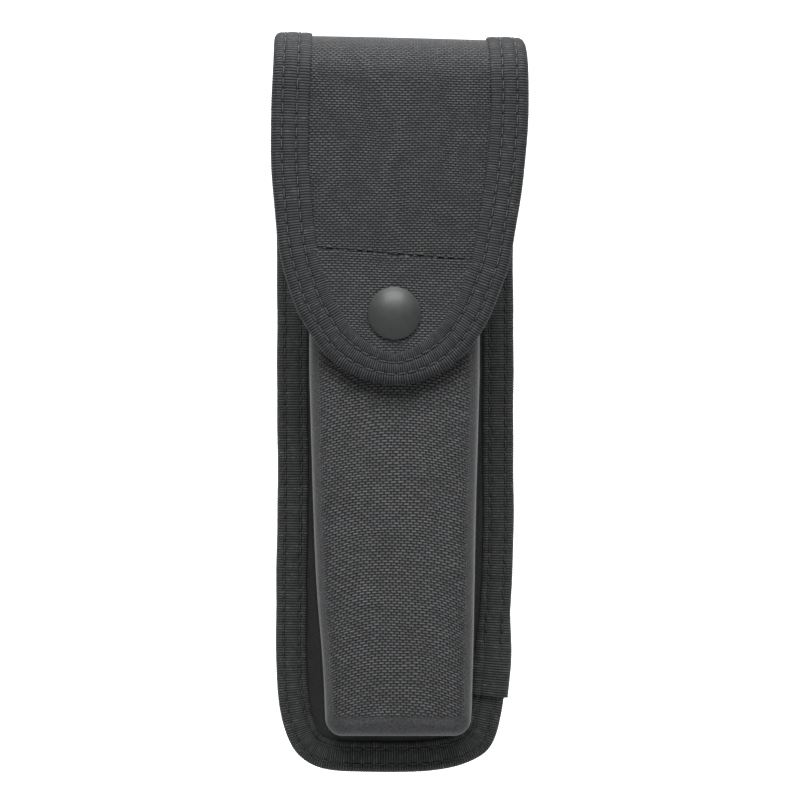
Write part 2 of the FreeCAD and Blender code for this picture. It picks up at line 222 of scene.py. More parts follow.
def slabParts(surface, near, far, uv):
    # a closed sheet: the surface at depth near and the surface at depth far, joined round all four edges
    one, two = surface(near), surface(far)
    ring = np.concatenate([one, two[:, ::-1]], axis=1)
    ringUv = np.concatenate([uv, uv[:, ::-1]], axis=1)
    caps = [(np.stack([one[k], two[k]]), np.stack([uv[k], uv[k]]), False, k == 0) for k in (0, -1)]
    return [(ring, ringUv, True, False)] + caps


class Val:
    # a shader socket with arithmetic: an expression on values adds its Math nodes
    def __init__(self, graph, socket):
        self.graph, self.socket = graph, socket

    def math(self, kind, *others, clamp=False):
        node = self.graph.tree.nodes.new("ShaderNodeMath")
        node.operation, node.use_clamp = kind, clamp
        for k, value in enumerate((self,) + others):
            self.graph.feed(node.inputs[k], value)
        return Val(self.graph, node.outputs[0])

    def output(self, k):
        return Val(self.graph, self.socket.node.outputs[k])

    def __add__(self, other):
        return self.math("ADD", other)

    def __radd__(self, other):
        return self.math("ADD", other)

    def __sub__(self, other):
        return self.math("SUBTRACT", other)

    def __rsub__(self, other):
        return (self * -1) + other

    def __mul__(self, other):
        return self.math("MULTIPLY", other)

    def __rmul__(self, other):
        return self.math("MULTIPLY", other)

    def __truediv__(self, other):
        return self.math("DIVIDE", other)

    def ramp(self, low, high, a=0.0, b=1.0):
        node = self.graph.tree.nodes.new("ShaderNodeMapRange")
        node.interpolation_type = "SMOOTHSTEP"
        for k, value in enumerate((self, low, high, a, b)):
            self.graph.feed(node.inputs[k], value)
        return Val(self.graph, node.outputs[0])


class Graph:
    def __init__(self, name):
        self.material = bpy.data.materials.new(name)
        self.material.use_nodes = True
        self.tree = self.material.node_tree
        self.tree.nodes.clear()
        self.shader = self.tree.nodes.new("ShaderNodeBsdfPrincipled")
        out = self.tree.nodes.new("ShaderNodeOutputMaterial")
        self.tree.links.new(self.shader.outputs[0], out.inputs[0])

    def feed(self, socket, value):
        if isinstance(value, Val):
            self.tree.links.new(value.socket, socket)
        elif isinstance(value, bpy.types.NodeSocket):
            self.tree.links.new(value, socket)
        else:
            socket.default_value = value

    def node(self, kind, out=0, settings=(), **inputs):
        node = self.tree.nodes.new("ShaderNode" + kind)
        for key, value in dict(settings).items():
            setattr(node, key, value)
        for key, value in inputs.items():
            self.feed(node.inputs[key.replace("_", " ")], value)
        return Val(self, node.outputs[out])

    def uv(self):
        pair = self.node("UVMap", settings=dict(uv_map="cloth"))
        split = self.node("SeparateXYZ", Vector=pair)
        return pair, split, split.output(1)

    def noise(self, where, scale, detail):
        return self.node("TexNoise", settings=dict(noise_dimensions="2D"), Vector=where, Scale=scale,
                         Detail=detail)

    def chance(self, cell):
        # a number from 0 to 1 that is the same all over one cell
        return self.node("TexWhiteNoise", settings=dict(noise_dimensions="2D"), Vector=cell)

    def mix(self, factor, a, b):
        node = self.tree.nodes.new("ShaderNodeMix")
        node.data_type = "RGBA"
        self.feed(node.inputs[0], factor)
        self.feed(node.inputs[6], a if isinstance(a, Val) else (*a, 1))
        self.feed(node.inputs[7], b if isinstance(b, Val) else (*b, 1))
        return Val(self, node.outputs[2])

    def bump(self, height, distance, strength=1.0, below=None):
        inputs = dict(Height=height, Distance=distance, Strength=strength)
        if below is not None:
            inputs["Normal"] = below
        return self.node("Bump", **inputs)

    def done(self, **inputs):
        for key, value in inputs.items():
            self.feed(self.shader.inputs[key.replace("_", " ")], value)
        return self.material


# in metres, because it is read from the piece's own coordinates
# paintedShadeFrom and paintedShadeTo: how far behind the front face the painted shade on the side walls and
# flange begins and is full
troughRim = dict(depth=-0.0509, height=-0.1276, tone=0.55, soft=0.0009, lowSoft=0.0016,
                 paintedShadeFrom=0.006, paintedShadeTo=0.014)


def wovenNylon(name, rowPitch, dashPitch, colour, betweenRows, betweenDashes, rim=None,
               rough=0.6, relief=0.0004):
    # dashes laid like bricks: in row floor(v / rowPitch) they repeat every dashPitch, and every other row
    # is shifted by half a dash; rim gives the depth and height past which the cloth is drawn smooth in a
    # lighter flat tone, partly a painted highlight of the rounding, and the depths behind it where painted
    # shade darkens the walls
    g = Graph(name)
    pair, u, v = g.uv()
    drift = g.noise(pair, 0.06, 1.0)
    fine = g.noise(pair, 2.1, 2.0)
    across = (u + (drift - 0.5) * 3.0 + fine * 0.3) / dashPitch
    upward = (v + (drift - 0.5) * 1.2 + fine * 0.14) / rowPitch
    row = upward.math("FLOOR")
    inRow = (upward * np.pi).math("SINE").math("ABSOLUTE")
    shifted = across + row * 0.5
    along = (shifted * np.pi).math("SINE").math("ABSOLUTE")
    chance = g.chance(g.node("CombineXYZ", X=shifted.math("FLOOR"), Y=row))
    rowShare, dashShare = inRow.ramp(0.15, 0.9), along.ramp(0.05, 0.62)
    strand = ((v * 4.0 / rowPitch + fine * 1.2) * np.pi).math("SINE") * rowShare * dashShare
    weave = (rowShare * betweenRows + (1 - betweenRows)) * (dashShare * betweenDashes + (1 - betweenDashes))
    weave = weave * (0.66 + 0.62 * chance) * (1 + 0.10 * strand)
    height = inRow * 0.5 + dashShare * 0.5 + strand * 0.05 + fine * 0.1
    if rim is not None:
        place = g.node("SeparateXYZ", Vector=g.node("TexCoord", out=3))
        depth, tall = place.output(1), place.output(2)
        edge = (fine - 0.5) * 0.0006
        atRim = (depth + edge).ramp(rim["depth"], rim["depth"] + rim["soft"])
        drawnBandAndHighlight = atRim.math("MAXIMUM", (tall + edge).ramp(rim["height"], rim["height"] - rim["lowSoft"]))
        rimPatches = g.noise(pair, 1.1, 4.0)
        # the drawn-smooth band: the weave gives way to a flat tone with patches, lighter than the weave;
        # partly the smoothed cloth and partly a painted highlight on the rounding
        weave = weave * (1 - drawnBandAndHighlight * 0.85) + drawnBandAndHighlight * (rimPatches * 1.5 + 0.25) * rim["tone"]
        # painted shade: behind the rim the weave's tone falls to 0.3 on the side walls and flange, standing
        # in for the shade there
        weave = weave * depth.ramp(rim["depth"] + rim["paintedShadeFrom"], rim["depth"] + rim["paintedShadeTo"], 1.0, 0.3)
        height = height * (1 - drawnBandAndHighlight * 0.8)
    patchy = g.noise(pair, 0.16, 3.0)
    shade = weave * (0.80 + 0.40 * patchy) * (0.86 + 0.28 * fine)
    red, green, blue = [shade * c for c in colour]
    return g.done(Base_Color=g.node("CombineXYZ", X=red, Y=green, Z=blue), Normal=g.bump(height, relief),
                  Roughness=rough + 0.1 * (1 - dashShare),
                  **{"Specular IOR Level": 0.38, "Sheen Weight": 0.12, "Sheen Roughness": 0.4})


def ribbedTape(name, ridge, paintedGrooveShade, rough=0.7):
    # the ribs themselves are in the mesh; this paints shade into the grooves and glints onto the ridges, and
    # adds threads, flecks and worn patches
    g = Graph(name)
    pair, u, v = g.uv()
    fine = g.noise(pair, 1.6, 3.0)
    rib = ((u / tape["ribPitch"]) * 2 * np.pi).math("COSINE") * 0.5 + 0.5
    row = (u / tape["ribPitch"] + 0.5).math("FLOOR")
    slip = g.node("TexWhiteNoise", settings=dict(noise_dimensions="1D"), W=row)
    thread = ((v / 0.42 + slip * 0.7 + fine * 0.9) * 2 * np.pi).math("SINE") * 0.5 + 0.5
    fleck = g.noise(pair, 0.4, 3.0)
    glint = g.chance(g.node("CombineXYZ", X=row, Y=(v / 0.9 + slip * 3.0).math("FLOOR"))).ramp(0.86, 0.99)
    # painted shade: between the ribs the tone falls to the near-black groove colour
    tone = g.mix(rib.ramp(0.2, 0.85) * (0.6 + 0.4 * thread), paintedGrooveShade, ridge)
    tone = g.mix(glint * rib * 0.34, tone, [min(c * 2.2, 1) for c in ridge])
    shade = (0.55 + 0.9 * fleck) * (0.84 + 0.32 * slip)
    colour = g.node("VectorMath", settings=dict(operation="MULTIPLY"))
    g.feed(colour.socket.node.inputs[0], tone)
    g.feed(colour.socket.node.inputs[1], g.node("CombineXYZ", X=shade, Y=shade, Z=shade))
    normal = g.bump(thread * 0.6 * rib + fine * 0.5, 0.00009)
    return g.done(Base_Color=colour, Roughness=rough, Normal=normal,
                  **{"Specular IOR Level": 0.3, "Sheen Weight": 0.04, "Sheen Roughness": 0.5})


def plainCloth(name, colour, pitch, relief, rough=0.8):
    g = Graph(name)
    pair, u, v = g.uv()
    noise = g.noise(pair, 1.2, 4.0)
    weave = ((u / pitch) * np.pi).math("SINE") * ((v / pitch) * np.pi).math("SINE")
    tone = g.mix(noise.ramp(0.3, 0.75), [c * 0.7 for c in colour], [c * 1.3 for c in colour])
    normal = g.bump(weave.math("ABSOLUTE") + noise * 0.6, relief)
    return g.done(Base_Color=tone, Roughness=rough, Normal=normal,
                  **{"Specular IOR Level": 0.25})


def threadFinish(name, colour):
    g = Graph(name)
    pair, u, v = g.uv()
    twist = ((u / 0.42 + v * 0.9) * 2 * np.pi).math("SINE")
    tone = g.mix(twist * 0.5 + 0.5, [c * 0.55 for c in colour], [c * 1.3 for c in colour])
    return g.done(Base_Color=tone, Roughness=0.5, Normal=g.bump(twist, 0.00003))


def objectNoise(name, colour, low, high, scale, rough, metal=0.0, relief=0.00002, coat=0.0):
    # colour and roughness wander with a noise in object space, for foam, board, hooks and metal
    g = Graph(name)
    noise = g.node("TexNoise", Vector=g.node("TexCoord", out=3), Scale=scale, Detail=4.0)
    tone = g.mix(noise.ramp(0.3, 0.7), [c * low for c in colour], [c * high for c in colour])
    return g.done(Base_Color=tone, Roughness=rough + 0.14 * (noise - 0.5), Metallic=metal, Coat_Weight=coat,
                  Normal=g.bump(noise, relief))


look = dict(
    flap=wovenNylon("flapCloth", 0.72, 1.62, (0.0262, 0.0276, 0.0302), 0.98, 0.74),
    patch=wovenNylon("patchCloth", 0.72, 1.62, (0.0370, 0.0384, 0.0410), 0.97, 0.72),
    trough=wovenNylon("troughCloth", 0.79, 1.84, (0.0630, 0.0638, 0.0665), 0.98, 1.0, troughRim),
    rear=wovenNylon("rearCloth", 0.72, 1.62, (0.040, 0.041, 0.044), 0.92, 0.66),
    # flapTape and bodyTape are one binding tape in two tones: bodyTape's lighter ridge and groove colours are
    # painted light that makes up for the shade along the body's edge
    flapTape=ribbedTape("flapTape", (0.048, 0.050, 0.053), (0.0015, 0.0016, 0.0018)),
    bodyTape=ribbedTape("bodyTape", (0.063, 0.066, 0.067), (0.007, 0.0072, 0.0074)),
    lining=plainCloth("lining", (0.018, 0.018, 0.019), 0.35, 0.00004),
    webbing=ribbedTape("webbing", (0.040, 0.041, 0.042), (0.012, 0.012, 0.0125)),
    thread=threadFinish("thread", (0.017, 0.0173, 0.018)),
    foam=objectNoise("foam", (0.03, 0.03, 0.03), 0.7, 1.3, 2600, 0.85, relief=0.00008),
    board=objectNoise("board", (0.05, 0.05, 0.05), 0.8, 1.2, 900, 0.7),
    hooks=objectNoise("hooks", (0.018, 0.018, 0.018), 0.5, 1.8, 1500, 0.6, relief=0.0004),
    pile=objectNoise("pile", (0.016, 0.016, 0.017), 0.5, 1.7, 1100, 0.95, relief=0.0004),
    cap=objectNoise("snapPaint", (0.030, 0.0313, 0.0313), 0.90, 1.10, 420, 0.50, relief=0.000006, coat=0.04),
    plated=objectNoise("plated", (0.32, 0.32, 0.33), 0.85, 1.15, 500, 0.34, metal=1.0),
)
print("materials ready")


# Back panel, hood and flap are made in two lengths that meet in the middle of the hood.

def backEdges(q, inset):
    # below the mouth the back panel follows the body's outline, above it the hood's
    left, right = bodyLine.edges(rearZ - (q - back1), inset)
    hoodLeft, hoodRight = flapLine.edges(np.clip(q, -30, hoodJoin["end"]), inset)
    w = smooth(hoodJoin["start"], hoodJoin["end"], q)
    return hoodLeft + (left - hoodLeft) * w, hoodRight + (right - hoodRight) * w


def panelSheet(name, rows, edges, near, far, material, inset=1.0, columns=61):
    q = rows[:, None]
    left, right = edges(rows, inset)
    x = left[:, None] + (right - left)[:, None] * np.linspace(0, 1, columns)[None, :]
    uv = np.stack([x, np.broadcast_to(q, x.shape)], axis=-1)
    return makePiece(name, slabParts(lambda d: onPanel(x, q, d), near, far, uv), material)


def blendRear(piece):
    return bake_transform(piece)


def blendFront(piece):
    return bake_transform(piece)


layers = {
    "outer_fabric": (0.0, 0.8, "woven_nylon"),
    "core": (0.8, 2.3, "foam"),
    "lining": (2.3, 2.7, "lining_fabric"),
}
# rows of the sheets' grids, closer together towards the rounded tip and the rounded bottom
closing = 1 - np.cos(np.linspace(0, np.pi / 2, 26))
tipRows = -31.6 + 16 * closing
frontRows = np.concatenate([tipRows, np.linspace(-14.6, bend1, 50)[1:], np.linspace(bend1, top1, 22)[1:],
                            np.linspace(top1, hoodMid, 8)[1:]])
lowRows = back1 + rearZ - bottomZ - 1.1 - 18 * closing
backRows = np.concatenate([np.linspace(hoodMid, top2, 8), np.linspace(top2, back1, 20)[1:],
                           np.linspace(back1, lowRows[-1], 60)[1:-1], lowRows[::-1]])
for layerName, (near, far, slotName) in layers.items():
    backLook = {"outer_fabric": look["rear"], "core": look["board"], "lining": look["lining"]}[layerName]
    frontLook = {"outer_fabric": look["flap"], "core": look["foam"], "lining": look["lining"]}[layerName]
    back = panelSheet("back_layer_" + layerName, backRows, backEdges, near, far, backLook)
    front = panelSheet("flap_layer_" + layerName, frontRows, flapLine.edges, near, far, frontLook)
    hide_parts("back_stiffener" if layerName == "core" else "back_" + layerName,
                "flap_top_" + layerName)
    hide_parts("flap_front_" + layerName)
    blendRear(back)
    blendFront(front)
print("panels ready")


# Binding tape is a folded section swept along an outline.

def tapeSection(stack, reach, corner, rows):
    # a closed loop of (inset, depth, rib share): along the front leg to the fold, round it, and back
    t = tape["thick"]
    nearRows = [r + k for r in rows for k in (-0.55, -0.25, 0, 0.25, 0.55)]
    inset = np.unique(np.concatenate([np.linspace(corner, reach, 8), [reach - 0.25], nearRows]))[::-1]
    depth = -t + tape["grooveDepth"] * sum(np.exp(-((inset - r) / tape["grooveWidth"]) ** 2) for r in rows)
    swell = 0.16 * np.exp(-((inset - 5.2) / 1.6) ** 2)  # between the two seams
    depth = depth + tape["edgeTuck"] * smooth(reach - 0.5, reach, inset) - swell
    front = np.stack([inset, depth, np.where(inset > reach - 0.1, 0.3, 1.0)], axis=1)
    a = np.linspace(0, np.pi / 2, 6)[1:]
    round1 = np.stack([corner - corner * np.sin(a), -t + corner - corner * np.cos(a), 0 * a + 1], axis=1)
    b = np.linspace(0, np.pi / 2, 6)
    low = stack + t - corner
    round2 = np.stack([corner - corner * np.cos(b), low + corner * np.sin(b), 0 * b + 1], axis=1)
    rear = np.linspace(corner, reach, 5)[1:]
    back = np.stack([rear, 0 * rear + stack + t, 0 * rear + 1], axis=1)
    inner = np.array([(reach, stack, 0), (t, stack, 0), (t, 0, 0), (reach, 0, 0)], float)
    loop = np.concatenate([front, round1, round2, back, inner])
    step = np.roll(loop[:, :2], -1, axis=0) - np.roll(loop[:, :2], 1, axis=0)
    normal = np.stack([-step[:, 1], step[:, 0]], axis=1) / np.maximum(np.hypot(*step.T), 1e-9)[:, None]
    return loop, normal


def endCaps(p, uv):
    # across each end, a fan from every outer point to one of the four inner points closes the section
    m, caps = p.shape[1] - 4, []
    nearest = np.round(np.linspace(0, 3, m)).astype(int)
    for k in (0, -1):
        fan = np.stack([p[k, :m], p[k, m:][::-1][nearest]])
        caps.append((fan, np.stack([uv[k, :m], uv[k, :m]]), False, k == 0))
    return caps


def atTip(s, inset):
    # insets shrink towards the flap's tip, where the tape covers less
    corner, k = tape["flapCorner"], 1 - tape["tipReach"] / tape["flapReach"]
    return corner + (inset - corner) * (1 - 1.25 * k * np.exp(-((s - tipS) / 12) ** 2))


def tapeParts(line, s0, s1, place, stack, reach, rows, corner, lift=None, bend=None):
    # point = place(line at s, moved inwards by inset and back by depth), with a rib every ribPitch of s
    s = np.linspace(s0, s1, int(abs(s1 - s0) / tape["ribPitch"] * 4) + 1)
    loop, normal = tapeSection(stack, reach, corner, rows)
    uneven = 0.5 + 0.5 * np.sin(s * 1.7) * np.sin(s * 0.37 + 1.0)
    rib = tape["ribHeight"] * (0.5 + 0.5 * np.cos(2 * np.pi * s / tape["ribPitch"])) * (0.75 + 0.35 * uneven)
    out = (rib[:, None] - 0.3 * tape["ribHeight"]) * loop[None, :, 2]
    if lift is not None:
        out = out + lift(s)[:, None] * (loop[None, :, 2] > 0)
    wobble = 0.10 * np.sin(s * 0.21) * np.sin(s * 0.083 + 2.0)
    inset = loop[None, :, 0] + 0 * s[:, None]
    if bend is not None:
        inset = np.where(inset > corner, bend(s[:, None], inset), inset)
    e = inset + out * normal[None, :, 0] + wobble[:, None]
    d = loop[None, :, 1] + out * normal[None, :, 1]
    x, q = line.at(s[:, None], e)
    p = place(x, q, d)
    girth = np.concatenate([[0], np.cumsum(np.hypot(*np.diff(loop[:, :2], axis=0).T))])
    uv = np.stack(np.broadcast_arrays(s[:, None], girth[None, :]), axis=-1)
    return [(p, uv, True, True)] + endCaps(p, uv)


tipS = float(flapLine.s[flapLine.low])
flapRows, bodyRows = (3.3, 7.4), (2.6, 7.4)
sHood = [flapLine.where(hoodMid, side) for side in (-1, 1)]
sMouth = [flapLine.where(hoodJoin["tapeEnd"], side) for side in (-1, 1)]
onFlap = dict(place=onPanel, stack=panel["thick"], reach=tape["flapReach"], rows=flapRows,
              corner=tape["flapCorner"], bend=atTip)
hood = tapeParts(flapLine, sMouth[0], sHood[0], **onFlap) + tapeParts(flapLine, sHood[1], sMouth[1], **onFlap)
hoodTape = makePiece("hood_binding_tape", hood, look["flapTape"], sharp=60)
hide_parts("back_edge_binding", "flap_top_binding")
blendRear(hoodTape)
flapTape = makePiece("flap_binding_tape", tapeParts(flapLine, *sHood, **onFlap), look["flapTape"],
                     sharp=60)
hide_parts("flap_front_binding")
blendFront(flapTape)

onFlange = dict(place=onBody, stack=bodyStack, reach=tape["bodyReach"], rows=bodyRows,
                corner=tape["bodyCorner"])
bodyTape = makePiece("body_binding_tape", tapeParts(bodyLine, 0.5, bodyLine.length - 0.5, **onFlange),
                     look["bodyTape"], body="pouch", sharp=60)
lapFrom, lapTo = bodyLine.where(-127.9, 1), bodyLine.where(-98.0, 1)
lap = tapeParts(bodyLine, lapFrom, lapTo, lift=lambda s: 1.2 - 1.3 * smooth(lapFrom + 8, lapTo, s),
                **onFlange)
lapTape = makePiece("binding_lap_end", lap, look["bodyTape"], body="pouch", sharp=60)
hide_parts("body_binding")
print("bindings ready")


# The moulded front is a grid of rays: from its middle line over the rim, down the wall and along the flange.

# face and foot: half width, lowest z and corner radius
trough = dict(slope=0.029, taperZ=-30, cornerZ=-112.0, face=(24.5, -134.0, 4.6), foot=(26.0, -139.0, 8.6),
              edgeInset=2.2, spineFrom=(-134, -112, mouthZ), spineTo=(-122, -108, mouthZ))
sideHeights = np.linspace(mouthZ, trough["cornerZ"], 84)[:-1]


def lowerCurve(left, right, low, radius, start):
    # a side, a rounded corner, the bottom, a corner and a side, with the same counts for every outline
    a = np.linspace(0, np.pi / 2, 15)
    down = np.linspace(start, low + radius, 10)
    l = np.stack([0 * down + left, down], axis=1)
    c1 = np.stack([left + radius - radius * np.cos(a), low + radius - radius * np.sin(a)], axis=1)[1:]
    base = np.linspace(left + radius, right - radius, 32)[1:-1]
    b = np.stack([base, 0 * base + low], axis=1)
    c2 = np.stack([right - radius + radius * np.sin(a), low + radius - radius * np.cos(a)], axis=1)
    r = np.stack([0 * down + right, down[::-1]], axis=1)[1:]
    return np.concatenate([l, c1, b, c2, r])


def lean(z):
    return 0.5 * smooth(-60, -120, z)  # the lower part stands slightly to the right


def shellLine(half, slope, low, radius):
    # (x, z) down one side, round the bottom and up the other, narrowing by slope below taperZ
    start, taperZ, side = trough["cornerZ"], trough["taperZ"], sideHeights
    bottom = lowerCurve(-1.0, 1.0, low, radius, start)
    z = np.concatenate([side, bottom[:, 1], side[::-1]])
    width = half - slope * np.maximum(taperZ - z, 0)
    bottomHalf = half - slope * (taperZ - start)
    full = lowerCurve(-bottomHalf, bottomHalf, low, radius, start)
    taper = (half - slope * np.maximum(taperZ - full[:, 1], 0)) / bottomHalf
    x = np.concatenate([-width[:len(side)], full[:, 0] * taper, width[-len(side):]])
    x = x + 1.2 * smooth(-85, -125, z) * np.clip(-x / 20, 0, 1)  # the left side closes in more
    return np.stack([x + lean(z), z], axis=1)


def shellOuter():
    # the middle line, the rim, the wall's foot and the outer edge, point for point
    (faceHalf, faceLow, faceRadius), (footHalf, footLow, footRadius) = trough["face"], trough["foot"]
    face = shellLine(faceHalf, trough["slope"], faceLow, faceRadius)
    foot = shellLine(footHalf, trough["slope"], footLow, footRadius)
    n, side = len(face), len(sideHeights)
    spineZ = np.interp(face[:, 1], trough["spineFrom"], trough["spineTo"])
    spineZ[side:n - side] = np.minimum(spineZ[side:n - side], trough["spineTo"][1])
    spine = np.stack([lean(face[:, 1]), spineZ], axis=1)
    left, right = bodyLine.edges(foot[:, 1], trough["edgeInset"])
    edge = np.stack([np.where(np.arange(n) < n / 2, left, right), foot[:, 1]], axis=1)
    s0, s1 = [bodyLine.where(trough["cornerZ"], k) for k in (-1, 1)]
    mid = np.arange(side, n - side)
    lengths = np.concatenate([[0], np.cumsum(np.hypot(*np.diff(foot[mid], axis=0).T))])
    ex, eq = bodyLine.at(s0 + (s1 - s0) * lengths / lengths[-1], trough["edgeInset"])
    edge[mid] = np.stack([ex, eq], axis=1)
    return spine, face, foot, edge


def lift3(points, y):
    return np.stack([points[:, 0], 0 * points[:, 0] + y, points[:, 1]], axis=1)


def corner3(a, b, c, radius, steps):
    # an exact quarter-like arc between the lines a-b and b-c, as a rational quadratic curve
    one, two = a - b, c - b
    one /= np.linalg.norm(one, axis=1, keepdims=True)
    two /= np.linalg.norm(two, axis=1, keepdims=True)
    cosine = np.sum(one * two, axis=1, keepdims=True)
    half = np.arccos(np.clip(cosine, -1, 1)) / 2
    reach = radius / np.tan(half)
    start, end, w = b + one * reach, b + two * reach, np.sin(half)
    t = np.linspace(0, 1, steps)[None, :, None]
    top = (1 - t) ** 2 * start[:, None] + 2 * t * (1 - t) * (w * b)[:, None] + t ** 2 * end[:, None]
    return top / ((1 - t) ** 2 + 2 * t * (1 - t) * w[:, None] + t ** 2)


def straight(a, b, steps):
    t = np.linspace(0, 1, steps)[None, :, None]
    return a[:, None] * (1 - t) + b[:, None] * t


def shellSurface():
    spine, face, foot, edge = shellOuter()
    s3, f3 = lift3(spine, shell["frontY"]), lift3(face, shell["frontY"])
    o3, e3 = lift3(foot, shell["flangeY"]), lift3(edge, shell["flangeY"])
    rim = corner3(s3, f3, o3, shell["rimRadius"], 14)
    sole = corner3(f3, o3, e3, shell["footRadius"], 7)
    p = np.concatenate([straight(s3, rim[:, 0], 24), rim[:, 1:], straight(rim[:, -1], sole[:, 0], 16)[:, 1:],
                        sole[:, 1:], straight(sole[:, -1], e3, 6)[:, 1:]], axis=1)
    # the front face is slightly crowned
    x, z = p[..., 0], p[..., 2]
    crown = np.clip(1 - (x / 23) ** 2, 0, 1) * smooth(-134, -112, z)
    p[..., 1] -= shell["crown"] * crown * (p[..., 1] < shell["frontY"] + 1.5)
    steps = np.linalg.norm(np.diff(p, axis=1), axis=2)
    run = np.concatenate([np.zeros((len(p), 1)), np.cumsum(steps, axis=1)], axis=1)
    way = face - spine
    way /= np.hypot(*way.T)[:, None]
    uv = spine[:, None] + way[:, None] * run[..., None]
    # the moulding pulls the rows of the weave up towards both sides
    drag = (4.2 + 2.4 * smooth(-60, -125, uv[..., 1])) * np.clip(np.abs(uv[..., 0]) / 24, 0, 1.4) ** 2.4
    uv = np.stack([uv[..., 0], uv[..., 1] + drag], axis=-1)
    return p, uv


def normals(p):
    a, b = np.gradient(p, axis=0), np.gradient(p, axis=1)
    n = np.cross(a, b)
    return n / np.maximum(np.linalg.norm(n, axis=2, keepdims=True), 1e-9)


shellGrid, shellUv = shellSurface()
shellNormal = normals(shellGrid)
shellNormal *= np.sign(-shellNormal[:, 5:6, 1:2])


def shellSheet(name, near, far, material, node):
    parts = slabParts(lambda d: shellGrid - shellNormal * d, near, far, shellUv)
    piece = makePiece(name, parts, material, body="pouch")
    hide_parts(node)
    return piece


shellSheet("shell_outer_cloth", 0.0, 0.8, look["trough"], "shell_outer_fabric")
shellSheet("shell_foam_layer", 0.8, 2.4, look["foam"], "shell_foam_core")
shellSheet("shell_lining_cloth", 2.4, 2.8, look["lining"], "shell_lining")


def mouthTape(leg=9.0, wall=shell["thick"]):
    # a folded section (outward offset, height) carried round the mouth's edge from flange to flange
    path = np.concatenate([shellGrid[0][::-1], shellGrid[-1][1:]])
    out = np.concatenate([shellNormal[0][::-1], shellNormal[-1][1:]])
    wallOnly = path[:, 1] < shell["flangeY"] - 1.6
    path, out = path[wallOnly][:, :2], out[wallOnly][:, :2]
    run = np.concatenate([[0], np.cumsum(np.hypot(*np.diff(path, axis=0).T))])
    s = np.linspace(0, run[-1], int(run[-1] / tape["ribPitch"] * 4) + 1)
    px, py, nx, ny = [np.interp(s, run, v) for v in (*path.T, *out.T)]
    size = np.hypot(nx, ny)
    nx, ny, t = nx / size, ny / size, tape["thick"]
    a = np.linspace(0, np.pi, 13)
    half = wall / 2 + t
    fold = np.stack([-wall / 2 + half * np.cos(a), half * 0.6 * np.sin(a) + t * 0.4, 0 * a + 1], axis=1)
    down = np.linspace(-0.5, -leg, 9)
    outer = np.stack([0 * down + t, down, 0 * down + 1], axis=1)[::-1]
    inner = np.stack([0 * down - wall - t, down, 0 * down + 1], axis=1)
    inside = np.array([(-wall, -leg, 0), (-wall, 0.2, 0), (0, 0.2, 0), (0, -leg, 0)], float)
    loop = np.concatenate([outer, fold, inner, inside])
    step = np.roll(loop[:, :2], -1, axis=0) - np.roll(loop[:, :2], 1, axis=0)
    way = np.stack([step[:, 1], -step[:, 0]], axis=1) / np.maximum(np.hypot(*step.T), 1e-9)[:, None]
    way *= np.sign(way[0, 0])
    rib = tape["ribHeight"] * 0.5 * np.cos(2 * np.pi * s / tape["ribPitch"])
    o = loop[None, :, 0] + rib[:, None] * loop[None, :, 2] * way[None, :, 0]
    h = loop[None, :, 1] + rib[:, None] * loop[None, :, 2] * way[None, :, 1]
    p = np.stack([px[:, None] + o * nx[:, None], py[:, None] + o * ny[:, None], mouthZ + h], axis=-1)
    girth = np.concatenate([[0], np.cumsum(np.hypot(*np.diff(loop[:, :2], axis=0).T))])
    uv = np.stack(np.broadcast_arrays(s[:, None], girth[None, :]), axis=-1)
    piece = makePiece("mouth_binding_tape", [(p, uv, True, False)] + endCaps(p, uv), look["bodyTape"],
                      body="pouch", sharp=60)
    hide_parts("mouth_binding")
    return piece


mouthTape()
print("moulded front ready")


# the patch at the flap's tip: its upper edge, how it tilts, and how its folded edge stands up
tip = dict(low=-24.6, top=4.4, tilt=np.radians(4.7), underTape=3.0, fold=0.34, seamAbove=0.9)


def tipPatch():
    closingIn = 1 - np.cos(np.linspace(0, np.pi / 2, 20))
    rows = np.concatenate([tip["low"] + 15.6 * closingIn, np.linspace(-8.5, tip["top"], 16)])
    left, right = flapLine.edges(rows, tape["flapReach"] - tip["underTape"])
    x = left[:, None] + (right - left)[:, None] * np.linspace(0, 1, 61)[None, :]
    q = rows[:, None] - x * np.tan(tip["tilt"]) * smooth(-14, tip["top"], rows)[:, None]
    uv = np.stack([x, q + 0.03 * x + 0.4], axis=-1)
    fold = (tip["fold"] * smooth(2.2, 3.6, rows) - 0.16 * smooth(3.9, tip["top"], rows))[:, None]
    return slabParts(lambda d: onPanel(x, q, d - fold), -0.62, -0.02, uv)


patch = makePiece("flap_tip_patch_cloth", tipPatch(), look["patch"])
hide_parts("flap_tip_patch")
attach(patch, "flap_front")


# Each stitch is a short flattened thread with its ends sunk in the cloth.

def stitchParts(place, xs, qs, dirX, dirQ, depth, length, radius=0.29, side=1.0):
    # point = middle + along * (x, q direction) + around the thread; depth dips towards both ends
    b = np.linspace(-1, 1, 9)
    a = np.linspace(0, 2 * np.pi, 8, endpoint=False)
    run = b[None, :, None] * np.reshape(length, (-1, 1, 1)) / 2
    taper = np.sqrt(np.clip(1 - b ** 6, 0.02, 1))[None, :, None]
    across = radius * 1.1 * np.cos(a)[None, None, :] * taper
    dive = 0.34 * (np.abs(b) ** 5)[None, :, None]
    rise = side * (radius * 0.75 * np.sin(a)[None, None, :] * taper + 0.10 - dive)
    x = xs[:, None, None] + run * dirX[:, None, None] - across * dirQ[:, None, None]
    q = qs[:, None, None] + run * dirQ[:, None, None] + across * dirX[:, None, None]
    d = np.reshape(depth, (-1, 1, 1)) - rise
    x, q, d = np.broadcast_arrays(x, q, d)
    p = place(x, q, d)
    u = np.broadcast_to(run, p.shape[:3])
    v = np.broadcast_to(a[None, None, :] * radius, p.shape[:3])
    uv = np.stack([u, v], axis=-1)
    return [(p[k], uv[k], True, False) for k in range(len(xs))]


